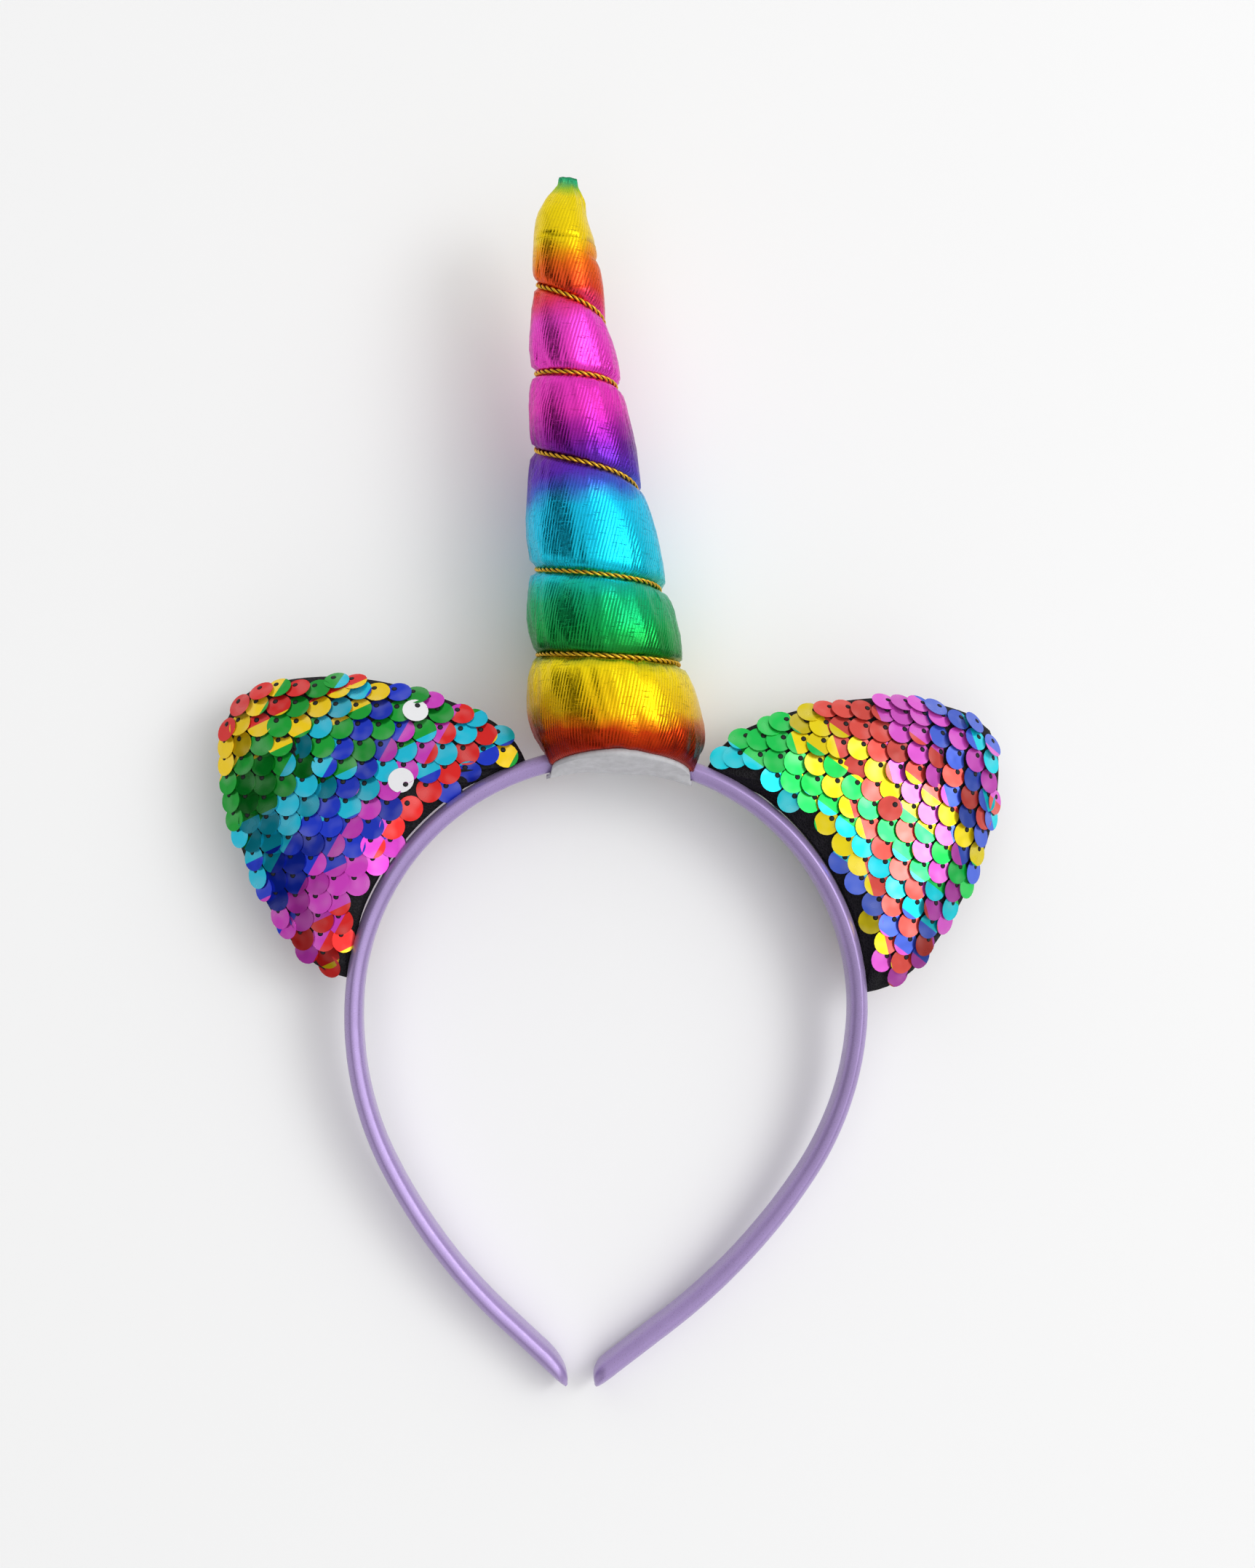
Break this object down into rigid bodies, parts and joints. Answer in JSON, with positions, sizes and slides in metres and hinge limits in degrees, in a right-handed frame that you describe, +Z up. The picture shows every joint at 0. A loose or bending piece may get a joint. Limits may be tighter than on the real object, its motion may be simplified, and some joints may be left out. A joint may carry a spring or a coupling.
{
  "type": "unicorn horn headband",
  "caption": "satin-wrapped hair band with a stuffed spiral horn bound by gold cord and two padded sequined ears",
  "frame": {"origin": "middle of the lower side of the bounding box, on the surface that the headband lies on", "axes": "+X across the loop towards the right ear, +Y in the loop's plane from the band's feet towards the horn's tip, +Z up from the surface that the headband lies on"},
  "size_m": [0.1932, 0.2966, 0.0409],
  "materials": {
    "satin_ribbon": "lavender satin ribbon wrapped round a stiff plastic band",
    "foil_cloth": "stuffed foil-coated ribbed cloth, rainbow from orange at the base to teal at the tip",
    "gold_cord": "two-strand twisted metallic gold cord",
    "pale_felt": "pale grey felt",
    "sequined_mesh": "rainbow film sequins sewn on dark mesh, padded"
  },
  "bodies": {
    "root": {"headband": "satin_ribbon", "horn": "foil_cloth", "horn_cord": "gold_cord", "horn_pad": "pale_felt", "ear_left": "sequined_mesh", "ear_right": "sequined_mesh"}
  },
  "joints": []
}
